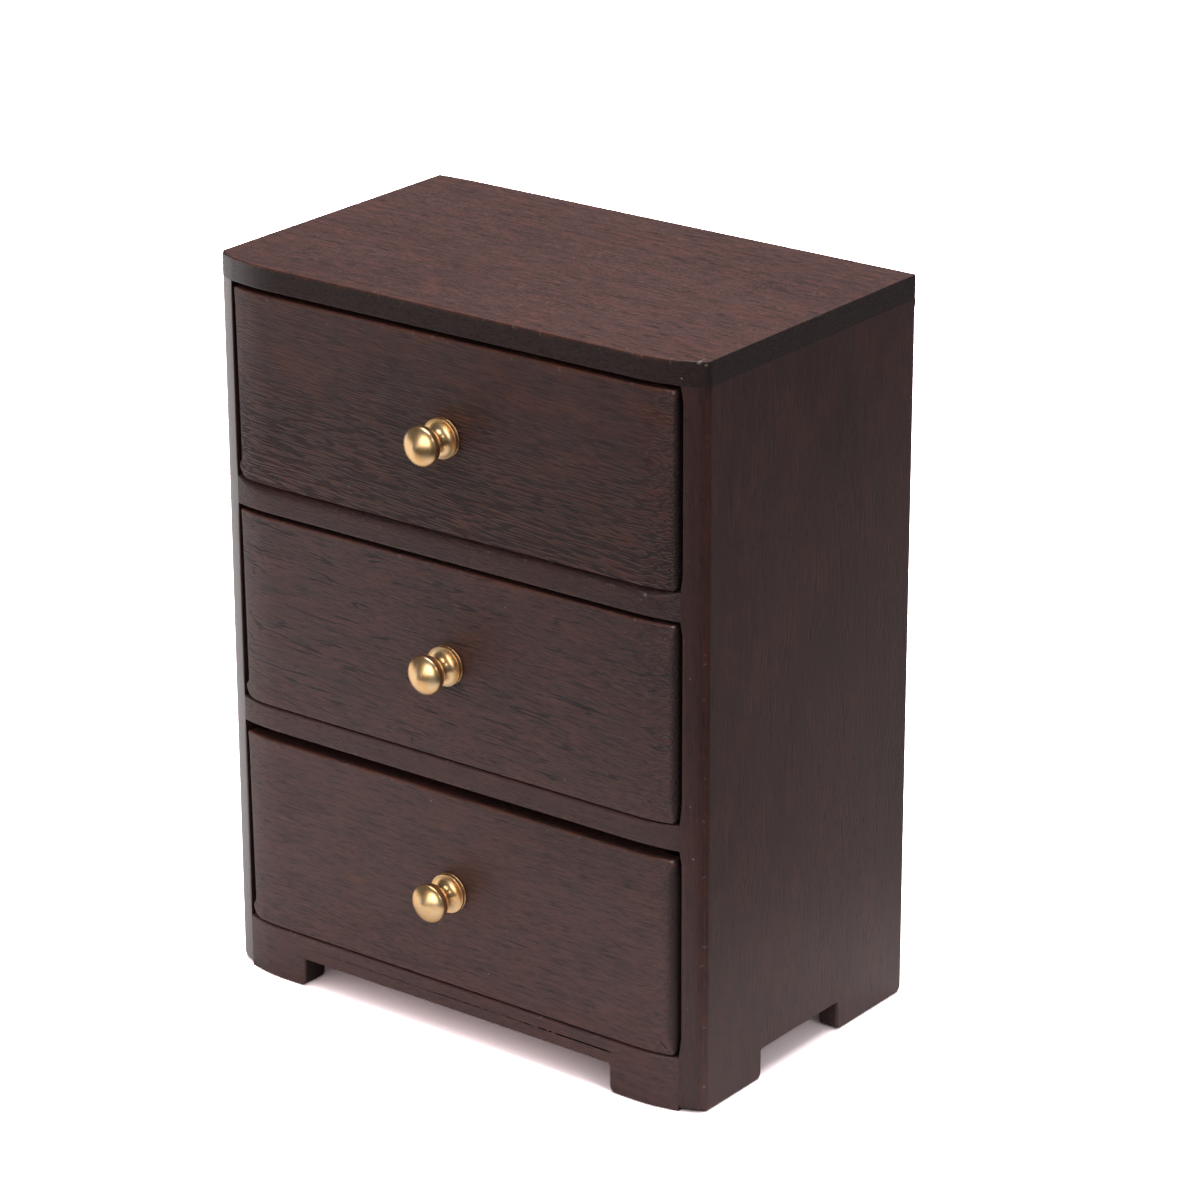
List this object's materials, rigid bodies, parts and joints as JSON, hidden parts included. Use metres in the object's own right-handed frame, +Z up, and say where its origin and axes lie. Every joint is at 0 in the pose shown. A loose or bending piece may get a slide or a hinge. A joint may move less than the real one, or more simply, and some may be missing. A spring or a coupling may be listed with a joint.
{
  "type": "desktop mini drawers",
  "caption": "Small free-standing chest of drawers for a desk top, dark-stained open-pore wood, gently bowed front, feet cut out of the base, turned brass ball knobs",
  "frame": {"origin": "at table level, in the centre of the footprint with the knobs included", "axes": "+Z up, the front faces -Y, +X to the right as seen from the front"},
  "size_m": [0.155, 0.1062, 0.2],
  "materials": {
    "stained_wood": "satin",
    "raw_wood": "matte",
    "plywood": "matte",
    "brass": "polished",
    "steel": "plain"
  },
  "bodies": {
    "case": {"top_board": "stained_wood", "left_side_panel": "stained_wood", "right_side_panel": "stained_wood", "base_rail": "stained_wood", "bottom_board": "stained_wood", "lower_divider": "stained_wood", "upper_divider": "stained_wood", "back_panel": "stained_wood", "back_panel_pins": "steel", "top_dowels": "raw_wood"},
    "bottom_drawer": {"bottom_drawer_front": "stained_wood", "bottom_drawer_left_side": "raw_wood", "bottom_drawer_right_side": "raw_wood", "bottom_drawer_back": "raw_wood", "bottom_drawer_bottom": "plywood", "bottom_drawer_knob": "brass", "bottom_drawer_knob_screw": "steel", "bottom_drawer_pins": "steel"},
    "middle_drawer": {"middle_drawer_front": "stained_wood", "middle_drawer_left_side": "raw_wood", "middle_drawer_right_side": "raw_wood", "middle_drawer_back": "raw_wood", "middle_drawer_bottom": "plywood", "middle_drawer_knob": "brass", "middle_drawer_knob_screw": "steel", "middle_drawer_pins": "steel"},
    "top_drawer": {"top_drawer_front": "stained_wood", "top_drawer_left_side": "raw_wood", "top_drawer_right_side": "raw_wood", "top_drawer_back": "raw_wood", "top_drawer_bottom": "plywood", "top_drawer_knob": "brass", "top_drawer_knob_screw": "steel", "top_drawer_pins": "steel"}
  },
  "joints": [
    {"name": "bottom_drawer_slide", "type": "slide", "parent": "case", "child": "bottom_drawer", "axis": [0, -1, 0], "range_m": [0, 0.06]},
    {"name": "middle_drawer_slide", "type": "slide", "parent": "case", "child": "middle_drawer", "axis": [0, -1, 0], "range_m": [0, 0.06]},
    {"name": "top_drawer_slide", "type": "slide", "parent": "case", "child": "top_drawer", "axis": [0, -1, 0], "range_m": [0, 0.06]}
  ]
}
